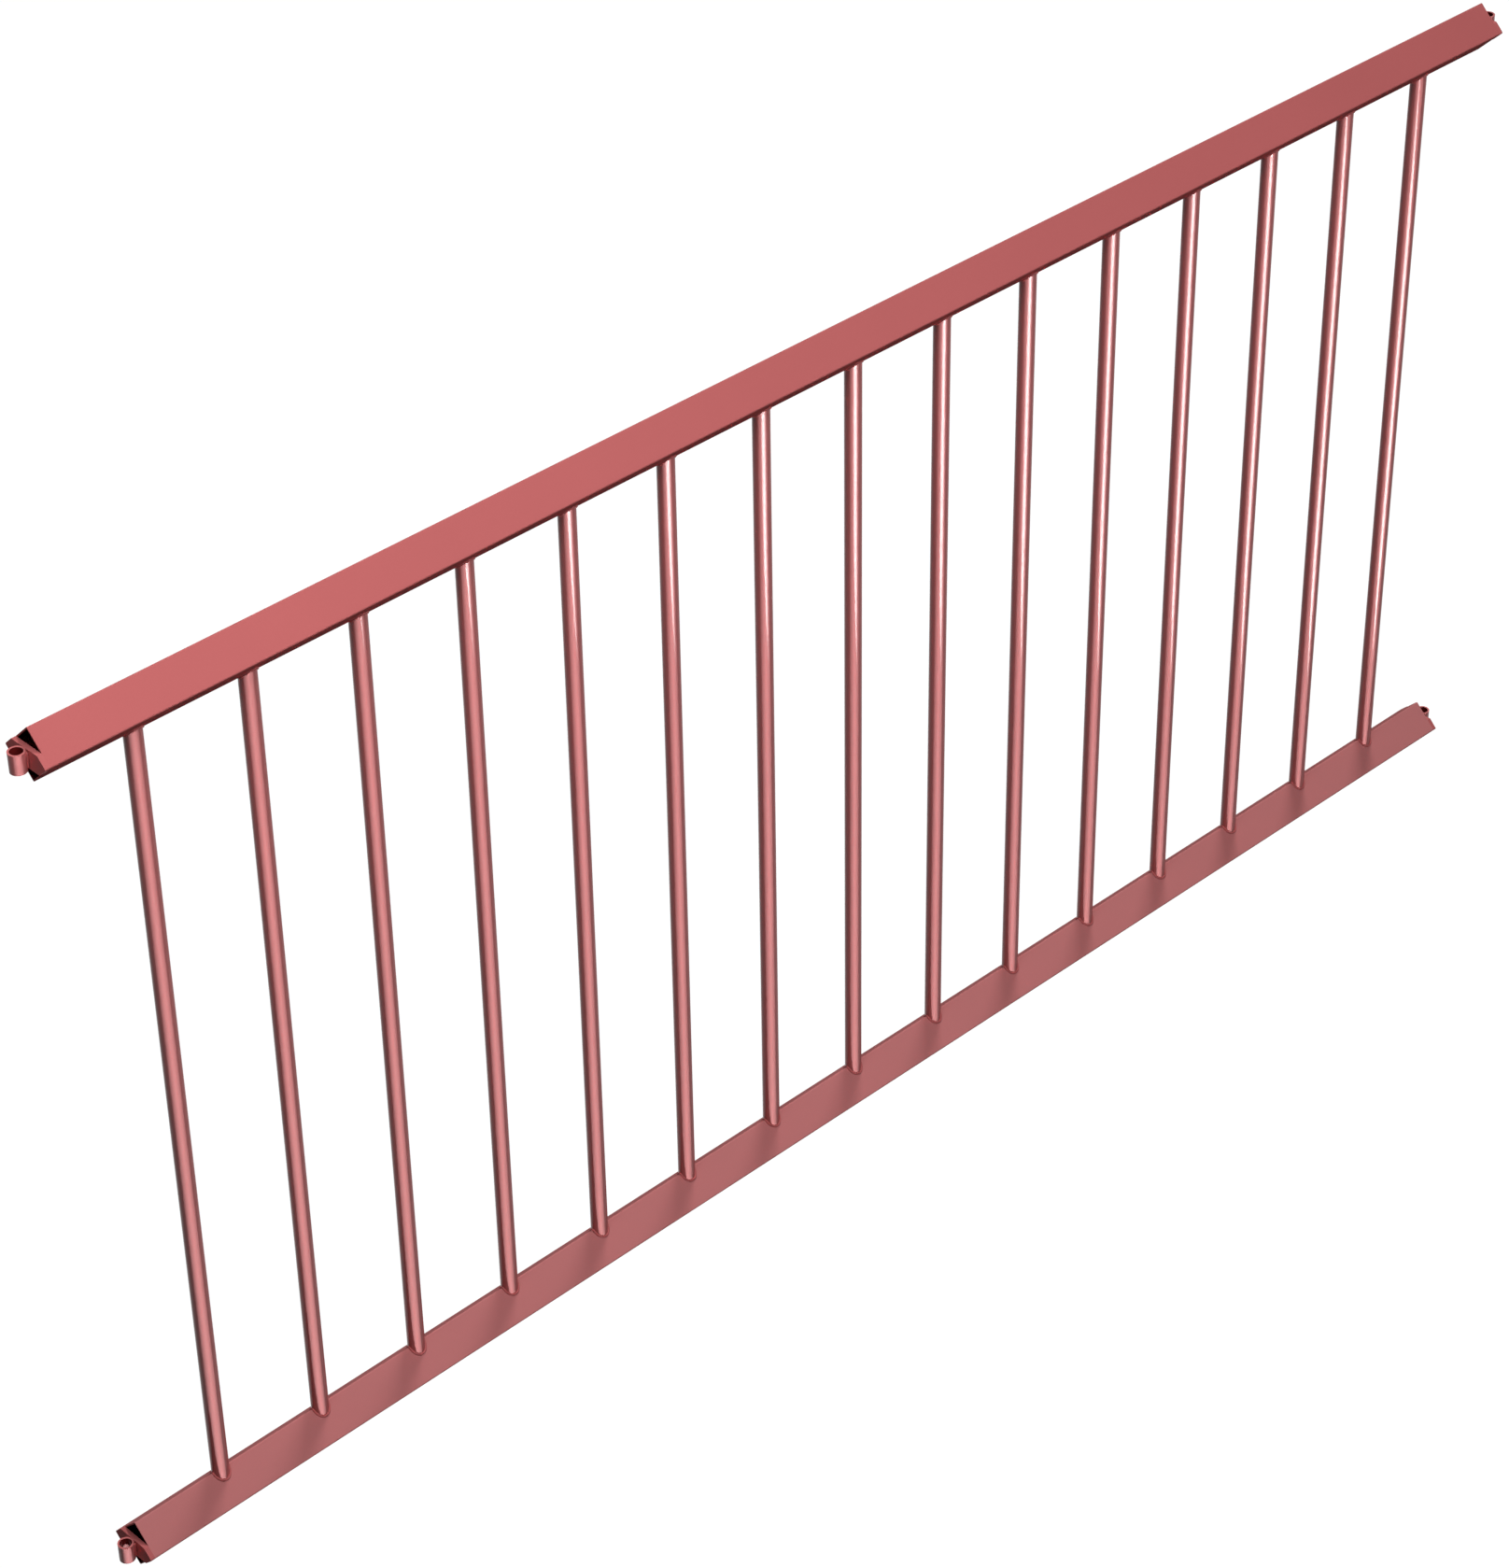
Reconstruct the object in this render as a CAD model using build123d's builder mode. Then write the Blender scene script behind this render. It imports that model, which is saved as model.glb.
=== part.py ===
"""Safety fence panel: round bars welded between two square tubes that stand on their edges."""

import os

from build123d import *

# Driving dimensions, in millimetres
tube_side = 40.0
tube_wall = 1.5
tube_corner_radius = 1.5
rail_length = 1942.0
rail_spacing = 930.0

bar_count = 15
bar_diameter = 18.0
end_margin = 103.0

plate_height = 20.0
plate_thickness = 5.0

eye_diameter = 16.0
eye_wall = 2.0

# The tubes are turned so that one edge points up
edge_up = 45.0

# Places that follow from the driving dimensions.
# The origin is on the axis of the lower left eye, in the plane of its bottom face,
# with +X along the panel to the right, +Y to the far side and +Z up.
# The bars share the rail evenly between the end margins, and the eyes are as high as the plates.
tube_inside = tube_side - 2 * tube_wall
bar_pitch = (rail_length - 2 * end_margin) / (bar_count - 1)
eye_height = plate_height
rail_start = eye_diameter / 2 + plate_thickness
rail_end = rail_start + rail_length
first_bar = rail_start + end_margin
lower_axis = eye_height / 2
upper_axis = lower_axis + rail_spacing
rail_axes = {"bottom": lower_axis, "top": upper_axis}
outward = {"left": -1, "right": 1}
rail_ends = {"left": rail_start, "right": rail_end}

os.makedirs("parts", exist_ok=True)

# Rails: a square tube on its edge, open at both ends
for level, axis_height in rail_axes.items():
    with BuildPart() as rail:
        with BuildSketch(Plane.YZ.offset(rail_start)):
            with Locations((0, axis_height)):
                RectangleRounded(tube_side, tube_side, tube_corner_radius, rotation=edge_up)
                Rectangle(tube_inside, tube_inside, rotation=edge_up, mode=Mode.SUBTRACT)
        extrude(amount=rail_length)
    rail.part.label = f"{level}_rail"
    export_step(rail.part, f"parts/{rail.part.label}.step")

# Bars: solid round bars, both ends notched to sit astride the edges of the tubes
for number in range(1, bar_count + 1):
    bar_centre = first_bar + (number - 1) * bar_pitch
    with BuildPart() as bar:
        with BuildSketch(Plane.XY.offset(lower_axis)):
            with Locations((bar_centre, 0)):
                Circle(bar_diameter / 2)
        extrude(amount=rail_spacing)
        with BuildSketch(Plane.YZ.offset(bar_centre)):
            with Locations((0, lower_axis), (0, upper_axis)):
                RectangleRounded(tube_side, tube_side, tube_corner_radius, rotation=edge_up)
        extrude(amount=bar_diameter, both=True, mode=Mode.SUBTRACT)
    bar.part.label = f"bar_{number:02d}"
    export_step(bar.part, f"parts/{bar.part.label}.step")

# End fittings: a flat cross plate over the middle of each tube end, and an upright eye against it
for level, axis_height in rail_axes.items():
    for side, direction in outward.items():
        with BuildPart() as plate:
            with BuildSketch(Plane.YZ.offset(rail_ends[side])):
                with Locations((0, axis_height)):
                    RectangleRounded(tube_side, tube_side, tube_corner_radius, rotation=edge_up)
                    Rectangle(2 * tube_side, plate_height, mode=Mode.INTERSECT)
            extrude(amount=direction * plate_thickness)
        plate.part.label = f"{level}_{side}_end_plate"
        export_step(plate.part, f"parts/{plate.part.label}.step")

        eye_centre = rail_ends[side] + direction * (plate_thickness + eye_diameter / 2)
        with BuildPart() as eye:
            with BuildSketch(Plane.XY.offset(axis_height - eye_height / 2)):
                with Locations((eye_centre, 0)):
                    Circle(eye_diameter / 2)
                    Circle(eye_diameter / 2 - eye_wall, mode=Mode.SUBTRACT)
            extrude(amount=eye_height)
        eye.part.label = f"{level}_{side}_eye"
        export_step(eye.part, f"parts/{eye.part.label}.step")
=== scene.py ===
"""Looks for the safety fence panel: painted steel, painted welds, a pale studio and the camera.

Lengths are in metres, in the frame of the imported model: X along the panel, Y to its far side, Z up.
"""

from __future__ import annotations

import logging
import math
from dataclasses import dataclass, replace
from enum import Enum
from typing import Any, Union

import bmesh
import bpy
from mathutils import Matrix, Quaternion, Vector


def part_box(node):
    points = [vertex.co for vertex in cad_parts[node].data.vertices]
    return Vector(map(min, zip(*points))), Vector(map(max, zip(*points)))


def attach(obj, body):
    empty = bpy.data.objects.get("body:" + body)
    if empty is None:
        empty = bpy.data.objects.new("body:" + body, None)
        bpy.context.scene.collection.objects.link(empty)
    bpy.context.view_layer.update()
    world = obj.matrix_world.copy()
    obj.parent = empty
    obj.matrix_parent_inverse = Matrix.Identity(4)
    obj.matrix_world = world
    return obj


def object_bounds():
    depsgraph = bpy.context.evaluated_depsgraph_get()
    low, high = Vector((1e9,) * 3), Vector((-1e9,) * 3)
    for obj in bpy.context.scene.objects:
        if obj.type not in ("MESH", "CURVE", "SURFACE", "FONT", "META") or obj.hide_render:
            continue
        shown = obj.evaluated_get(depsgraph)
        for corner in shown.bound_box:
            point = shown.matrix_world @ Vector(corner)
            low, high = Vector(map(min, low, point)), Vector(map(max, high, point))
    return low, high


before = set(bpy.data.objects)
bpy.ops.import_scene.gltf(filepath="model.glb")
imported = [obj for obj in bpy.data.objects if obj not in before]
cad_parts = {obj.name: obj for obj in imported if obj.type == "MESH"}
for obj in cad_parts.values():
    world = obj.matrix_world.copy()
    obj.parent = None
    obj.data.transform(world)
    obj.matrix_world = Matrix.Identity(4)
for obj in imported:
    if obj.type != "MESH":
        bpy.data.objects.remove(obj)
CAD_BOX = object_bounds()

LOG = logging.getLogger("fence_panel")
BODY = "root"

Colour = tuple[float, float, float]
Point = tuple[float, float, float]


class Level(Enum):
    """The two rails, by their height."""

    BOTTOM = "bottom"
    TOP = "top"

    @property
    def toward_bars(self) -> int:
        """Gives the sign of Z from the rail to the bars."""
        return 1 if self is Level.BOTTOM else -1


class Side(Enum):
    """The two ends of the panel, as seen from the near side."""

    LEFT = "left"
    RIGHT = "right"

    @property
    def outward(self) -> int:
        """Gives the sign of X away from the panel."""
        return -1 if self is Side.LEFT else 1


class RaySight(Enum):
    """Kinds of ray that look at the studio itself, by their names on the Light Path node."""

    CAMERA = "Is Camera Ray"
    GLOSSY = "Is Glossy Ray"
    TRANSMISSION = "Is Transmission Ray"


class LampUse(Enum):
    """What a lamp is for: to light all pieces, to light the round ones, or only to show in those."""

    LIGHT = "light"
    ROUND_LIGHT = "round_light"
    REFLECTION = "reflection"


@dataclass(frozen=True)
class Signal:
    """A node's output that can be used in a Python expression."""

    graph: "Graph"
    socket: bpy.types.NodeSocket

    def __add__(self, other: "Operand") -> "Signal":
        """Adds a value to this one."""
        return self.graph.math("ADD", self, other)

    def __radd__(self, other: "Operand") -> "Signal":
        """Adds this value to a number."""
        return self.graph.math("ADD", other, self)

    def __sub__(self, other: "Operand") -> "Signal":
        """Takes a value from this one."""
        return self.graph.math("SUBTRACT", self, other)

    def __rsub__(self, other: "Operand") -> "Signal":
        """Takes this value from a number."""
        return self.graph.math("SUBTRACT", other, self)

    def __mul__(self, other: "Operand") -> "Signal":
        """Multiplies this value."""
        return self.graph.math("MULTIPLY", self, other)

    def __rmul__(self, other: "Operand") -> "Signal":
        """Multiplies a number by this value."""
        return self.graph.math("MULTIPLY", other, self)

    def __truediv__(self, other: "Operand") -> "Signal":
        """Divides this value."""
        return self.graph.math("DIVIDE", self, other)

    def __rtruediv__(self, other: "Operand") -> "Signal":
        """Divides a number by this value."""
        return self.graph.math("DIVIDE", other, self)

    def __pow__(self, other: "Operand") -> "Signal":
        """Raises this value to a power."""
        return self.graph.math("POWER", self, other)

    def fraction(self) -> "Signal":
        """Keeps what stands after the decimal point."""
        return self.graph.math("FRACT", self)

    def rounded(self) -> "Signal":
        """Gives the nearest whole number."""
        return self.graph.math("ROUND", self)

    def size(self) -> "Signal":
        """Drops the sign."""
        return self.graph.math("ABSOLUTE", self)

    def below(self, other: "Operand") -> "Signal":
        """Gives 1 where this value is less than another, and 0 elsewhere."""
        return self.graph.math("LESS_THAN", self, other)

    def at_least(self, other: "Operand") -> "Signal":
        """Gives the larger of this value and another."""
        return self.graph.math("MAXIMUM", self, other)

    def at_most(self, other: "Operand") -> "Signal":
        """Gives the smaller of this value and another."""
        return self.graph.math("MINIMUM", self, other)


Operand = Union[Signal, float]


class Graph:
    """A shader or geometry node tree that grows by expressions."""

    def __init__(self, tree: bpy.types.NodeTree) -> None:
        """Keeps the tree that the nodes go into."""
        self.tree = tree

    def feed(self, socket: bpy.types.NodeSocket, value: Any) -> None:
        """Links a signal to a socket, or sets the socket's own value.

        Args:
            socket: The input to feed.
            value: A Signal, or a constant of the socket's type.
        """
        if isinstance(value, Signal):
            self.tree.links.new(value.socket, socket)
        else:
            socket.default_value = value

    def node(
        self,
        kind: str,
        settings: dict[str, Any] | None = None,
        inputs: dict[Any, Any] | None = None,
        output: Any = 0,
    ) -> Signal:
        """Adds a node of any kind.

        Args:
            kind: The node's type name.
            settings: Properties of the node, set before its sockets.
            inputs: Values or signals by the socket's name, number or identifier.
            output: The name, number or identifier of the output to return.

        Returns:
            The chosen output as a signal.
        """
        node = self.tree.nodes.new(kind)
        for name, value in (settings or {}).items():
            setattr(node, name, value)
        for name, value in (inputs or {}).items():
            self.feed(self.pick(node.inputs, name), value)
        return Signal(self, self.pick(node.outputs, output))

    def end(self, kind: str, inputs: dict[Any, Any]) -> None:
        """Adds a node that has no output.

        Args:
            kind: The node's type name.
            inputs: Values or signals by the socket's name, number or identifier.
        """
        node = self.tree.nodes.new(kind)
        for name, value in inputs.items():
            self.feed(self.pick(node.inputs, name), value)

    @staticmethod
    def pick(sockets: Any, key: Any) -> bpy.types.NodeSocket:
        """Finds a socket.

        Args:
            sockets: A node's inputs or outputs.
            key: The socket's number, identifier or name.

        Returns:
            The socket.
        """
        if isinstance(key, int):
            return sockets[key]
        named = [socket for socket in sockets if socket.identifier == key]
        return named[0] if named else sockets[key]

    def math(self, operation: str, *operands: Operand) -> Signal:
        """Adds a Math node.

        Args:
            operation: The Math node's operation.
            operands: Signals or numbers, in the order of its sockets.

        Returns:
            The node's value.
        """
        return self.node("ShaderNodeMath", {"operation": operation}, dict(enumerate(operands)))

    def part(self, vector: Signal, axis: str) -> Signal:
        """Takes one coordinate, by its letter, out of a vector."""
        return self.node("ShaderNodeSeparateXYZ", None, {"Vector": vector}, axis)

    def noise(self, coordinates: Signal, grain: float, layers: float = 1.0) -> Signal:
        """Adds a noise that wanders about one half.

        Args:
            coordinates: Where on the piece the noise is read.
            grain: The size of its patches.
            layers: How many finer layers it carries.

        Returns:
            The noise, from 0 to 1.
        """
        inputs = {"Vector": coordinates, "Scale": 1 / grain, "Detail": layers}
        return self.node("ShaderNodeTexNoise", None, inputs, "Fac")

    def blend(self, factor: Operand, first: Any, second: Any) -> Signal:
        """Mixes two colours.

        Args:
            factor: 0 for the first colour, 1 for the second.
            first: A colour with alpha, or a signal.
            second: A colour with alpha, or a signal.

        Returns:
            The mixed colour.
        """
        inputs = {"Factor_Float": factor, "A_Color": first, "B_Color": second}
        return self.node("ShaderNodeMix", {"data_type": "RGBA"}, inputs, "Result_Color")

    def seen_directly(self) -> Signal:
        """Tells rays that look at the studio itself from rays that only carry its light.

        Returns:
            1 on the first kind and 0 on the second.
        """
        path = self.tree.nodes.new("ShaderNodeLightPath")
        sights = [Signal(self, path.outputs[sight.value]) for sight in RaySight]
        return sights[0].at_least(sights[1]).at_least(sights[2])


def surface_graph(material: bpy.types.Material) -> tuple[Graph, bpy.types.Node]:
    """Empties a material's tree and starts it again with one Principled shader.

    Args:
        material: The material to start.

    Returns:
        The material's graph and its Principled node.
    """
    material.use_nodes = True
    tree = material.node_tree
    tree.nodes.clear()
    shader = tree.nodes.new("ShaderNodeBsdfPrincipled")
    graph = Graph(tree)
    graph.end("ShaderNodeOutputMaterial", {"Surface": Signal(graph, shader.outputs["BSDF"])})
    return graph, shader


def opaque(colour: Colour) -> tuple[float, float, float, float]:
    """Adds a full alpha to a colour."""
    return (*colour, 1.0)


@dataclass(frozen=True)
class TubeBore:
    """The inside of the two square tubes, where the paint is darkened to near black as painted shade for
    the hollow.
    """

    corner: float
    centre_height: float
    half_spacing: float
    clearance: float = 0.0001

    def mask(self, graph: Graph, place: Signal) -> Signal:
        """Marks the inside.

        Args:
            graph: The material's graph.
            place: The Object coordinates.

        Returns:
            1 inside the tubes and 0 elsewhere.
        """
        across = graph.part(place, "Y").size()
        above = ((graph.part(place, "Z") - self.centre_height).size() - self.half_spacing).size()
        return (across + above).below(self.corner + self.clearance)


@dataclass(frozen=True)
class EyeBore:
    """The inside of the eyes, where the paint is darkened as painted shade for the hollow."""

    radius: float
    centre_length: float
    half_span: float
    clearance: float = 0.0001

    def mask(self, graph: Graph, place: Signal) -> Signal:
        """Marks the inside.

        Args:
            graph: The material's graph.
            place: The Object coordinates.

        Returns:
            1 inside the eyes and 0 elsewhere.
        """
        along = (graph.part(place, "X") - self.centre_length).size() - self.half_span
        across = graph.part(place, "Y")
        return (along * along + across * across).below((self.radius + self.clearance) ** 2)


@dataclass(frozen=True)
class PaintFinish:
    """Red paint on steel: near one colour, with faint patches, specks and a fine orange peel, and painted
    shade inside a bore where one is given.
    """

    name: str
    colour: Colour
    roughness: float
    specular_level: float
    bore: Union[TubeBore, EyeBore, None] = None
    # Near-black red that the bore mask paints inside the hollow: painted shade.
    bore_shade_colour: Colour = (0.06, 0.006, 0.006)
    patch_size: float = 0.11
    patch_layers: float = 3.0
    patch_shade: float = 0.05
    speck_size: float = 0.0016
    speck_share: float = 0.35
    roughness_spread: float = 0.04
    peel_size: float = 0.0022
    peel_depth: float = 0.000002

    def material(self) -> bpy.types.Material:
        """Gives the paint, which is made once.

        Returns:
            The material.
        """
        return bpy.data.materials.get(self.name) or self.mix()

    def mix(self) -> bpy.types.Material:
        """Builds the paint's nodes.

        Returns:
            The material.
        """
        material = bpy.data.materials.new(self.name)
        graph, shader = surface_graph(material)
        place = graph.node("ShaderNodeTexCoord", output="Object")
        patches = graph.noise(place, self.patch_size, self.patch_layers)
        specks = graph.noise(place, self.speck_size)
        peel = graph.noise(place, self.peel_size)
        tone = patches * (1 - self.speck_share) + specks * self.speck_share
        colour = graph.blend(tone, self.shade(-1), self.shade(1))
        if self.bore:
            # Painted shade: the inside of the bore turns near-black.
            colour = graph.blend(self.bore.mask(graph, place), colour, opaque(self.bore_shade_colour))
        settings = {
            "Base Color": colour,
            "Roughness": self.roughness + self.roughness_spread * (patches - 0.5),
            "Normal": graph.node(
                "ShaderNodeBump", None, {"Distance": self.peel_depth, "Height": peel}, "Normal"
            ),
            "Specular IOR Level": self.specular_level,
        }
        for name, value in settings.items():
            graph.feed(shader.inputs[name], value)
        return material

    def shade(self, direction: int) -> tuple[float, float, float, float]:
        """Gives the paint's colour at the dark (-1) or light (1) end of its patches."""
        red, green, blue = (channel * (1 + direction * self.patch_shade) for channel in self.colour)
        return opaque((red, green, blue))


def paint_node(name: str, finish: PaintFinish) -> None:
    """Gives a CAD node its paint.

    Args:
        name: The node's name.
        finish: The paint.
    """
    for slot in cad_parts[name].material_slots:
        slot.material = finish.material()
    LOG.info("%s painted with %s", name, finish.name)


@dataclass(frozen=True)
class Seam:
    """A line that a weld follows."""

    points: list[Point]
    closed: bool


@dataclass(frozen=True)
class WeldBead:
    """A painted weld: a round bead with even ripples, swept along seams by Geometry Nodes."""

    finish: PaintFinish
    radius: float
    ripple_pitch: float = 0.0017
    ripple_depth: float = 0.12
    wander: float = 0.10
    wander_size: float = 0.006
    end_taper: float = 0.0015
    end_tip: float = 0.0001
    step: float = 0.0005
    seed: float = 7.0
    facets: int = 8

    def inputs(self) -> dict[str, tuple[str, Any]]:
        """Lists the tree's named inputs.

        Returns:
            The type and value of each input's socket, by its name.
        """
        number = "NodeSocketFloat"
        return {
            "Radius": (number, self.radius),
            "Ripple Pitch": (number, self.ripple_pitch),
            "Ripple Depth": (number, self.ripple_depth),
            "Wander": (number, self.wander),
            "End Taper": (number, self.end_taper),
            "Step": (number, self.step),
            "Seed": (number, self.seed),
            "Paint": ("NodeSocketMaterial", self.finish.material()),
        }

    def tree(self) -> bpy.types.NodeTree:
        """Builds the tree that turns seams into beads.

        Returns:
            The tree.
        """
        tree = bpy.data.node_groups.new("weld_bead", "GeometryNodeTree")
        tree.interface.new_socket("Seams", in_out="INPUT", socket_type="NodeSocketGeometry")
        for name, (kind, _) in self.inputs().items():
            tree.interface.new_socket(name, in_out="INPUT", socket_type=kind)
        tree.interface.new_socket("Beads", in_out="OUTPUT", socket_type="NodeSocketGeometry")
        graph = Graph(tree)
        source = tree.nodes.new("NodeGroupInput")
        given = {socket.name: Signal(graph, socket) for socket in source.outputs if socket.name}

        lines = graph.node("GeometryNodeMeshToCurve", None, {"Mesh": given["Seams"]})
        even = graph.node(
            "GeometryNodeResampleCurve", {"mode": "LENGTH"}, {"Curve": lines, "Length": given["Step"]}
        )
        beads = graph.node(
            "GeometryNodeCurveToMesh",
            None,
            {
                "Curve": even,
                "Profile Curve": graph.node(
                    "GeometryNodeCurvePrimitiveCircle", None, {"Resolution": self.facets, "Radius": 1.0}
                ),
                "Scale": self.thickness(graph, given),
                "Fill Caps": True,
            },
        )
        smooth = graph.node("GeometryNodeSetShadeSmooth", None, {"Geometry": beads})
        solid = graph.node("GeometryNodeRealizeInstances", None, {"Geometry": smooth})
        painted = graph.node(
            "GeometryNodeSetMaterial", None, {"Geometry": solid, "Material": given["Paint"]}
        )
        graph.end("NodeGroupOutput", {"Beads": painted})
        return tree

    def thickness(self, graph: Graph, given: dict[str, Signal]) -> Signal:
        """Works out the bead's radius along the seam.

        Args:
            graph: The tree's graph.
            given: The tree's inputs by name.

        Returns:
            The radius at each point of the seam.
        """
        share = graph.node("GeometryNodeSplineParameter", output="Factor")
        length = graph.node("GeometryNodeSplineLength", output="Length")
        count = (length / given["Ripple Pitch"]).rounded()
        phase = (share * count).fraction()
        ripple = 1 - given["Ripple Depth"] + given["Ripple Depth"] * 4 * phase * (1 - phase)
        noise = graph.node(
            "ShaderNodeTexNoise",
            {"noise_dimensions": "4D"},
            {
                "Vector": graph.node("GeometryNodeInputPosition"),
                "W": given["Seed"],
                "Scale": 1 / self.wander_size,
                "Detail": 1.0,
            },
            "Fac",
        )
        uneven = 1 + given["Wander"] * (2 * noise - 1)
        from_end = length * share.at_most(1 - share)
        taper = ((from_end + self.end_tip) / (given["End Taper"] + self.end_tip)).at_most(1.0) ** 0.5
        return given["Radius"] * ripple * uneven * taper

    def lay(self, name: str, seams: list[Seam]) -> None:
        """Lays the weld along its seams, as one piece.

        Args:
            name: The piece's name.
            seams: The lines to follow.
        """
        points: list[Point] = []
        edges: list[tuple[int, int]] = []
        for seam in seams:
            first = len(points)
            points += seam.points
            last = len(points) - 1
            edges += [(point, point + 1) for point in range(first, last)]
            edges += [(last, first)] if seam.closed else []
        lines = bpy.data.meshes.new(f"{name}_seams")
        lines.from_pydata(points, edges, [])
        carrier = add_object(f"{name}_carrier", lines)
        modifier = carrier.modifiers.new("weld_bead", "NODES")
        modifier.node_group = self.tree()
        values = {key: value for key, (_, value) in self.inputs().items()}
        for socket in modifier.node_group.interface.items_tree:
            if socket.name in values:
                modifier[socket.identifier] = values[socket.name]
        evaluated = carrier.evaluated_get(bpy.context.evaluated_depsgraph_get())
        mesh = bpy.data.meshes.new_from_object(evaluated)
        carrier.modifiers.remove(modifier)
        bpy.data.objects.remove(carrier)
        face_outward(mesh)
        mesh.name = name
        piece = add_object(name, mesh)
        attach(piece, BODY)
        LOG.info("%s laid along %d seams, %d faces", name, len(seams), len(mesh.polygons))


def face_outward(mesh: bpy.types.Mesh) -> None:
    """Turns the faces of a closed mesh outward.

    Args:
        mesh: The mesh to turn.
    """
    work = bmesh.new()
    work.from_mesh(mesh)
    bmesh.ops.recalc_face_normals(work, faces=work.faces)
    work.to_mesh(mesh)
    work.free()


@dataclass(frozen=True)
class Rails:
    """The two square tubes, which stand on their edges."""

    finishes: dict[Level, PaintFinish]
    corner_radius: float = 0.0015

    def dress(self) -> None:
        """Paints both tubes."""
        for level in Level:
            paint_node(f"{level.value}_rail", self.finishes[level])

    def saddle(self, level: Level, across: float) -> float:
        """Gives the height of a tube's upper or lower surface, on the side of the bars.

        Args:
            level: Which tube.
            across: The distance from the tube's edge, along Y.

        Returns:
            The height, along Z.
        """
        low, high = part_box(f"{level.value}_rail")
        half_height = (high[2] - low[2]) / 2
        sharp_edge = half_height + (math.sqrt(2) - 1) * self.corner_radius
        rise = min(half_height, sharp_edge - abs(across))
        return (low[2] + high[2]) / 2 + level.toward_bars * rise


@dataclass(frozen=True)
class Bars:
    """The round bars, welded astride the edges of the tubes."""

    finish: PaintFinish
    weld: WeldBead
    rails: Rails
    count: int = 15
    seam_points: int = 96

    def dress(self) -> None:
        """Paints the bars."""
        for name in self.names():
            paint_node(name, self.finish)

    def names(self) -> list[str]:
        """Lists the bars from left to right."""
        return [f"bar_{number:02d}" for number in range(1, self.count + 1)]

    def build(self) -> None:
        """Welds both ends of every bar, as one piece for each tube."""
        for level in Level:
            seams = [self.seam(name, level) for name in self.names()]
            self.weld.lay(f"bar_welds_{level.value}", seams)

    def seam(self, name: str, level: Level) -> Seam:
        """Finds the line where a bar meets a tube.

        Args:
            name: The bar's name.
            level: Which tube.

        Returns:
            The closed line, a saddle around the bar.
        """
        low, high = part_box(name)
        radius = (high[0] - low[0]) / 2
        centre_x = (high[0] + low[0]) / 2
        points = []
        for step in range(self.seam_points):
            turn = 2 * math.pi * step / self.seam_points
            across = radius * math.sin(turn)
            height = self.rails.saddle(level, across)
            points.append((centre_x + radius * math.cos(turn), across, height))
        return Seam(points, closed=True)


@dataclass(frozen=True)
class EndFittings:
    """The cross plates over the tube ends, and the eyes that are welded to them."""

    plate_finish: PaintFinish
    eye_finish: PaintFinish
    weld: WeldBead
    groove_depth: float = 0.8
    short_of_ends: float = 0.0015
    seam_points: int = 12

    def dress(self) -> None:
        """Paints the plates and the eyes."""
        for corner in self.corners():
            paint_node(f"{corner}_end_plate", self.plate_finish)
        for name in self.eye_names():
            paint_node(name, self.eye_finish)

    def corners(self) -> list[str]:
        """Lists the panel's corners."""
        return [f"{level.value}_{side.value}" for level in Level for side in Side]

    def eye_names(self) -> list[str]:
        """Lists the eyes."""
        return [f"{corner}_eye" for corner in self.corners()]

    def build(self) -> None:
        """Welds each eye to its plate on both sides, as one piece."""
        seams = [
            self.seam(level, side, across)
            for level in Level
            for side in Side
            for across in (-1, 1)
        ]
        self.weld.lay("eye_welds", seams)

    def seam(self, level: Level, side: Side, across: int) -> Seam:
        """Finds the groove between an eye and its plate.

        Args:
            level: Which tube.
            side: Which end of the tube.
            across: -1 for the near side of the eye, 1 for the far side.

        Returns:
            The upright line that fills the groove.
        """
        low, high = (Vector(corner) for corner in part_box(f"{level.value}_{side.value}_eye"))
        centre = (low + high) / 2
        radius = (high.y - low.y) / 2
        plate_face = centre.x - side.outward * radius
        x = plate_face + side.outward * self.weld.radius
        y = centre.y + across * self.groove_depth * 2 * math.sqrt(radius * self.weld.radius)
        start = low.z + self.short_of_ends
        length = high.z - self.short_of_ends - start
        heights = [start + length * step / (self.seam_points - 1) for step in range(self.seam_points)]
        return Seam([(x, y, height) for height in heights], closed=False)


@dataclass(frozen=True)
class StudioFloor:
    """Pale floor that the camera and reflections see as white, and that keeps a soft shadow."""

    albedo: float = 0.15
    glow: float = 0.95
    drop: float = 0.45
    reach: float = 14.0

    def material(self) -> bpy.types.Material:
        """Builds the floor's matt finish, which glows only to the rays that look at it.

        Returns:
            The material.
        """
        material = bpy.data.materials.new("pale_floor")
        graph, shader = surface_graph(material)
        black, white = opaque((0.0, 0.0, 0.0)), opaque((1.0, 1.0, 1.0))
        settings = {
            "Base Color": opaque((self.albedo, self.albedo, self.albedo)),
            "Roughness": 1.0,
            "Specular IOR Level": 0.0,
            "Emission Color": graph.blend(graph.seen_directly(), black, white),
            "Emission Strength": self.glow,
        }
        for name, value in settings.items():
            graph.feed(shader.inputs[name], value)
        return material

    def build(self, centre: Vector, lowest: float) -> None:
        """Lays the floor under the panel.

        Args:
            centre: The panel's centre.
            lowest: The height of the panel's lowest point.
        """
        height = lowest - self.drop
        corners = [
            (centre.x + self.reach * x, centre.y + self.reach * y, height)
            for x, y in ((-1, -1), (1, -1), (1, 1), (-1, 1))
        ]
        mesh = bpy.data.meshes.new("floor")
        mesh.from_pydata(corners, [], [(0, 1, 2, 3)])
        mesh.materials.append(self.material())
        add_object("floor", mesh)
        LOG.info("floor laid")


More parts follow.
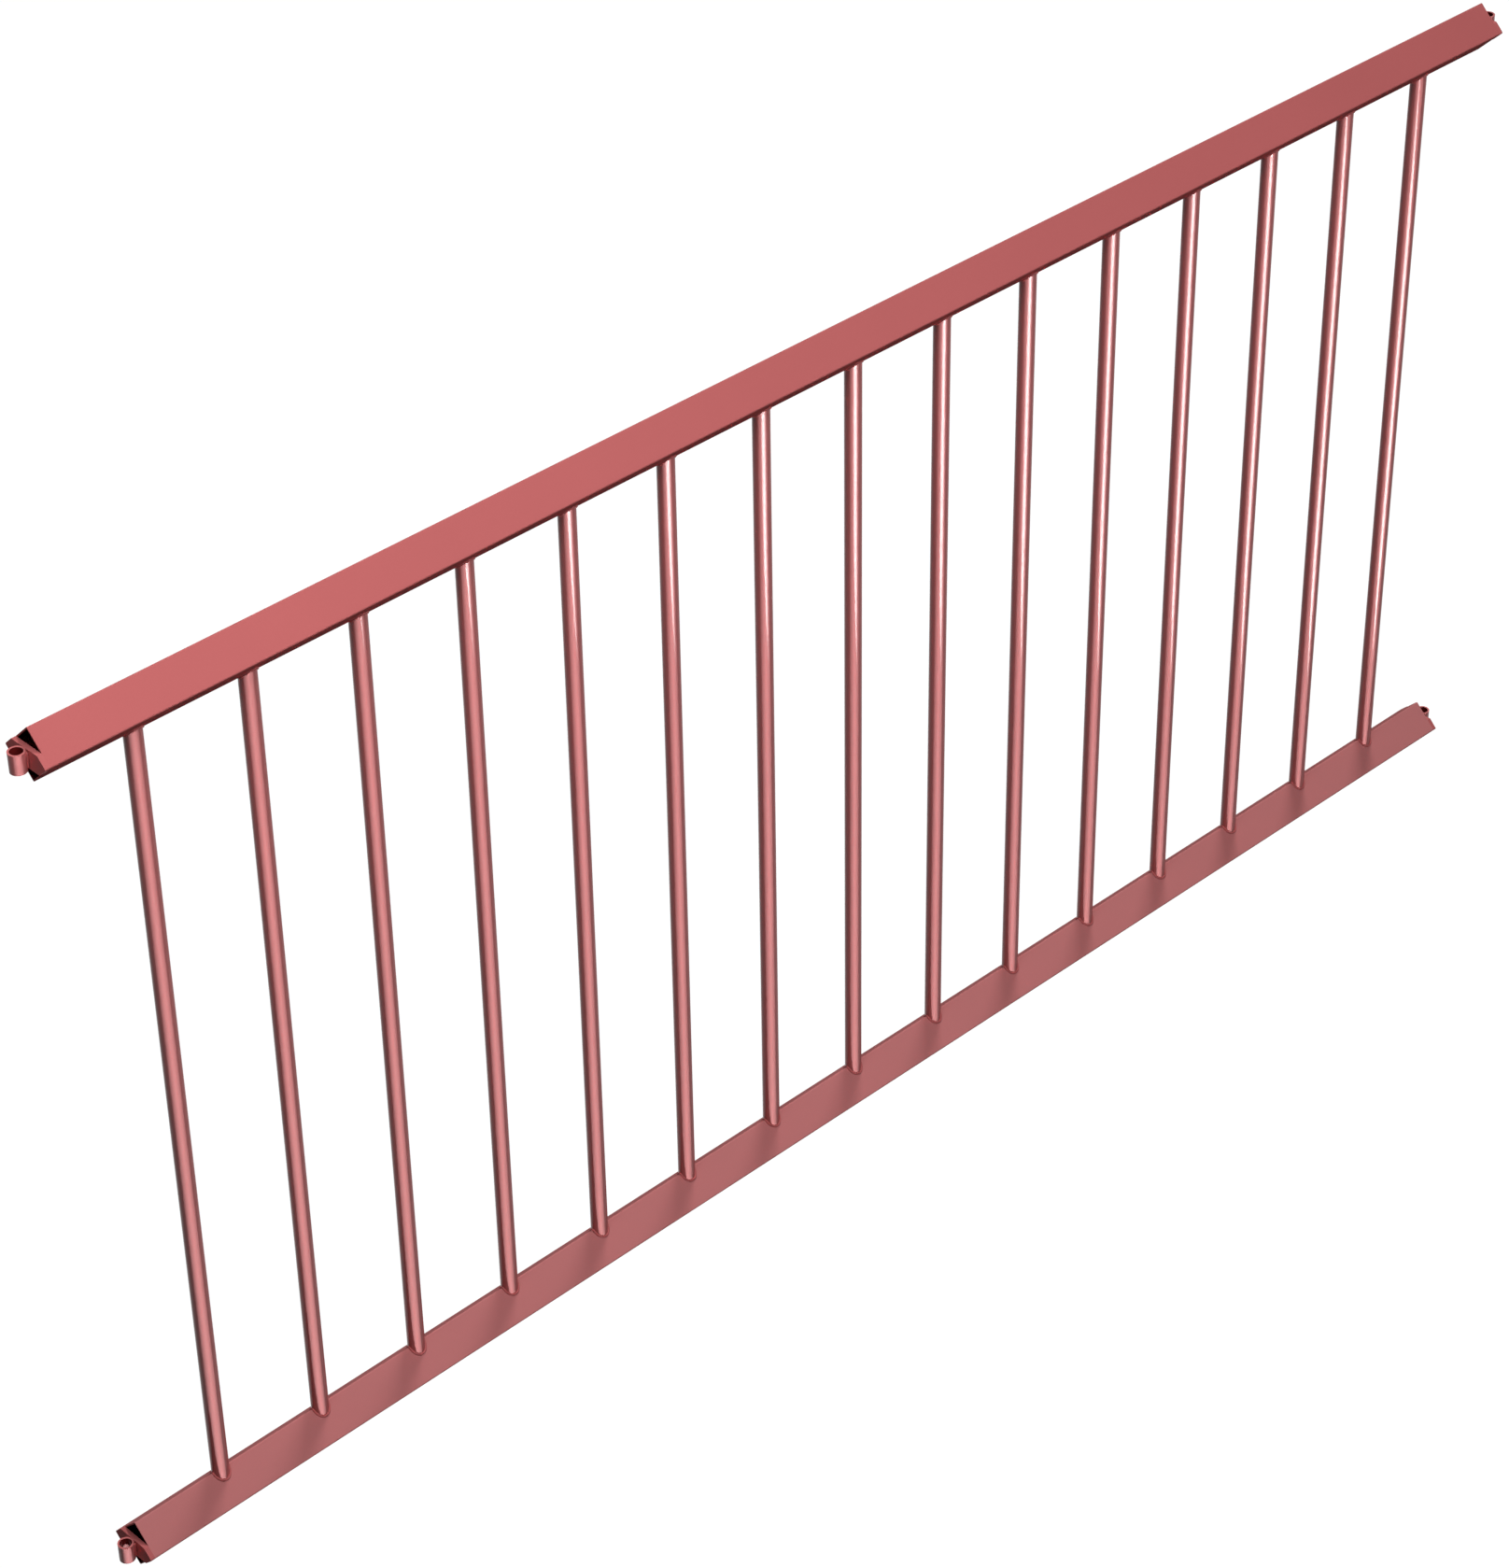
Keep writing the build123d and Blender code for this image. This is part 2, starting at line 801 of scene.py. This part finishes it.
@dataclass(frozen=True)
class Softbox:
    """A flat lamp that faces the panel; a spread below 180 degrees stands for a grid in front of it."""

    name: str
    direction: Point
    distance: float
    width: float
    height: float
    power: float
    spread: float = 180.0
    roll: float = 0.0
    colour: Colour = (1.0, 1.0, 1.0)
    offset: tuple[float, float] = (0.0, 0.0)
    use: LampUse = LampUse.LIGHT

    def build(self, aim: Vector, round_pieces: bpy.types.Collection) -> None:
        """Hangs the lamp.

        Args:
            aim: The point that it faces.
            round_pieces: The pieces that a lamp can be kept to.
        """
        lamp = bpy.data.lights.new(self.name, "AREA")
        lamp.shape = "RECTANGLE"
        lamp.size = self.width
        lamp.size_y = self.height
        lamp.energy = self.power
        lamp.color = self.colour
        lamp.spread = math.radians(self.spread)
        # Next to lamps that are kept to some pieces, the other lamps come out too bright if this is on.
        lamp.cycles.use_multiple_importance_sampling = self.use is LampUse.REFLECTION
        box = add_object(self.name, lamp)
        toward = Vector(self.direction).normalized()
        turn = toward.to_track_quat("Z", "Y") @ Quaternion((0.0, 0.0, 1.0), math.radians(self.roll))
        box.location = aim + self.distance * toward + turn @ Vector((*self.offset, 0.0))
        box.rotation_euler = turn.to_euler()
        box.visible_camera = False
        box.visible_diffuse = self.use is not LampUse.REFLECTION
        box.visible_glossy = self.use is not LampUse.ROUND_LIGHT
        if self.use is not LampUse.LIGHT:
            box.light_linking.receiver_collection = round_pieces
        LOG.info("%s hung", self.name)


@dataclass(frozen=True)
class PhotoCamera:
    """The photograph's camera, fitted to the panel's straight edges."""

    frame_height: float = 1679.0
    frame_width: float = 1616.0
    focal_pixels: float = 4589.2
    aim_x: float = 913.6
    aim_y: float = 786.5
    distance: float = 4.4043
    direction: Point = (-1.0, -1.0, 1.0)
    sensor: float = 36.0

    def build(self, aim: Vector) -> None:
        """Sets the camera up and makes it the scene's own.

        Args:
            aim: The panel's centre, which the lens axis passes through.
        """
        lens = bpy.data.cameras.new("photo_camera")
        lens.sensor_fit = "VERTICAL"
        lens.sensor_height = self.sensor
        lens.lens = self.sensor * self.focal_pixels / self.frame_height
        lens.shift_x = (self.frame_width / 2 - self.aim_x) / self.frame_height
        lens.shift_y = (self.aim_y - self.frame_height / 2) / self.frame_height
        camera = add_object("photo_camera", lens)
        toward = Vector(self.direction).normalized()
        camera.location = aim + self.distance * toward
        camera.rotation_euler = toward.to_track_quat("Z", "Y").to_euler()
        bpy.context.scene.camera = camera
        LOG.info("camera set")


@dataclass(frozen=True)
class Studio:
    """Floor, lamps, sky and camera."""

    floor: StudioFloor
    softboxes: tuple[Softbox, ...]
    camera: PhotoCamera

    def build(self, round_pieces: list[bpy.types.Object]) -> None:
        """Sets the studio up around the panel.

        Args:
            round_pieces: The pieces that a lamp can be kept to.
        """
        low, high = (Vector(corner) for corner in CAD_BOX)
        centre = (low + high) / 2
        self.floor.build(centre, low.z)
        collection = bpy.data.collections.new("round_pieces")
        for piece in round_pieces:
            collection.objects.link(piece)
        for softbox in self.softboxes:
            softbox.build(centre, collection)
        self.build_sky()
        self.camera.build(centre)
        bpy.context.scene.view_settings.view_transform = "Standard"

    def build_sky(self) -> None:
        """Makes the sky white to the rays that look at it, and dark to the rest."""
        world = bpy.data.worlds.new("studio_sky")
        world.use_nodes = True
        world.node_tree.nodes.clear()
        graph = Graph(world.node_tree)
        inputs = {"Color": opaque((1.0, 1.0, 1.0)), "Strength": graph.seen_directly()}
        graph.end("ShaderNodeOutputWorld", {"Surface": graph.node("ShaderNodeBackground", None, inputs)})
        bpy.context.scene.world = world


def add_object(name: str, data: bpy.types.ID) -> bpy.types.Object:
    """Adds an object to the scene.

    Args:
        name: The object's name.
        data: Its mesh, lamp or camera.

    Returns:
        The object.
    """
    thing = bpy.data.objects.new(name, data)
    bpy.context.scene.collection.objects.link(thing)
    return thing


RED = (0.5, 0.13, 0.13)
# Lighter, greyer red for the lower tube: a painted sheen that stands in for reflected white light.
RED_WITH_PAINTED_SHEEN = (0.56, 0.195, 0.195)
COARSE_PEEL = 0.00003
BORE_HALF_SIDE = 0.0185
TUBE_PAINT = PaintFinish(
    "tube_paint",
    RED,
    roughness=0.62,
    specular_level=0.0,
    bore=TubeBore(corner=BORE_HALF_SIDE * math.sqrt(2), centre_height=0.475, half_spacing=0.465),
    peel_depth=COARSE_PEEL,
)
# The lower tube takes the red with painted sheen.
LOWER_TUBE_PAINT = replace(TUBE_PAINT, name="lower_tube_paint", colour=RED_WITH_PAINTED_SHEEN)
PLATE_PAINT = PaintFinish("plate_paint", RED, roughness=0.62, specular_level=0.04, peel_depth=COARSE_PEEL)
BAR_PAINT = PaintFinish("bar_paint", RED, roughness=0.1, specular_level=0.12)
EYE_PAINT = PaintFinish(
    "eye_paint",
    RED,
    roughness=0.1,
    specular_level=0.12,
    bore=EyeBore(radius=0.006, centre_length=0.984, half_span=0.984),
    # Dark red in the eyes' bores: painted shade.
    bore_shade_colour=(0.12, 0.009, 0.009),
)
WELD_PAINT = PaintFinish("weld_paint", RED, roughness=0.5, specular_level=0.04, peel_depth=COARSE_PEEL)

STUDIO = Studio(
    floor=StudioFloor(),
    softboxes=(
        Softbox(
            "key_softbox",
            (-0.55, -0.3, 0.78),
            distance=2.2,
            width=1.2,
            height=1.2,
            power=16.5,
        ),
        Softbox(
            "front_softbox",
            (0.1, -1.0, 0.85),
            distance=4.4,
            width=1.5,
            height=1.5,
            power=74.0,
        ),
        Softbox(
            "rear_softbox",
            (0.35, 0.25, 0.9),
            distance=9.0,
            width=1.8,
            height=1.8,
            power=400.0,
        ),
        Softbox(
            "back_softbox",
            (0.7, 0.7, 0.12),
            distance=4.0,
            width=1.5,
            height=1.5,
            power=120.0,
            use=LampUse.ROUND_LIGHT,
        ),
        Softbox(
            "low_reflector",
            (-0.346, -0.74, -0.577),
            distance=0.75,
            width=4.0,
            height=2.2,
            power=298.0,
            spread=100.0,
            colour=(1.0, 0.47, 0.47),
            use=LampUse.REFLECTION,
        ),
        Softbox(
            "streak_reflector",
            (-0.25, -0.845, -0.5),
            distance=0.3,
            width=1.8,
            height=0.55,
            power=16.5,
            spread=50.0,
            roll=-31.7,
            offset=(0.058, 0.372),
            use=LampUse.REFLECTION,
        ),
    ),
    camera=PhotoCamera(),
)


def main() -> None:
    """Dresses the panel, lays its welds and sets the studio up around it."""
    logging.basicConfig(level=logging.INFO, format="%(name)s: %(message)s")
    rails = Rails({Level.BOTTOM: LOWER_TUBE_PAINT, Level.TOP: TUBE_PAINT})
    bars = Bars(BAR_PAINT, WeldBead(WELD_PAINT, radius=0.0015), rails)
    fittings = EndFittings(PLATE_PAINT, EYE_PAINT, WeldBead(WELD_PAINT, radius=0.0012))
    for assembly in (rails, bars, fittings):
        assembly.dress()
    for assembly in (bars, fittings):
        assembly.build()
    STUDIO.build([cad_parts[name] for name in bars.names() + fittings.eye_names()])


if __name__ == "__main__":
    main()
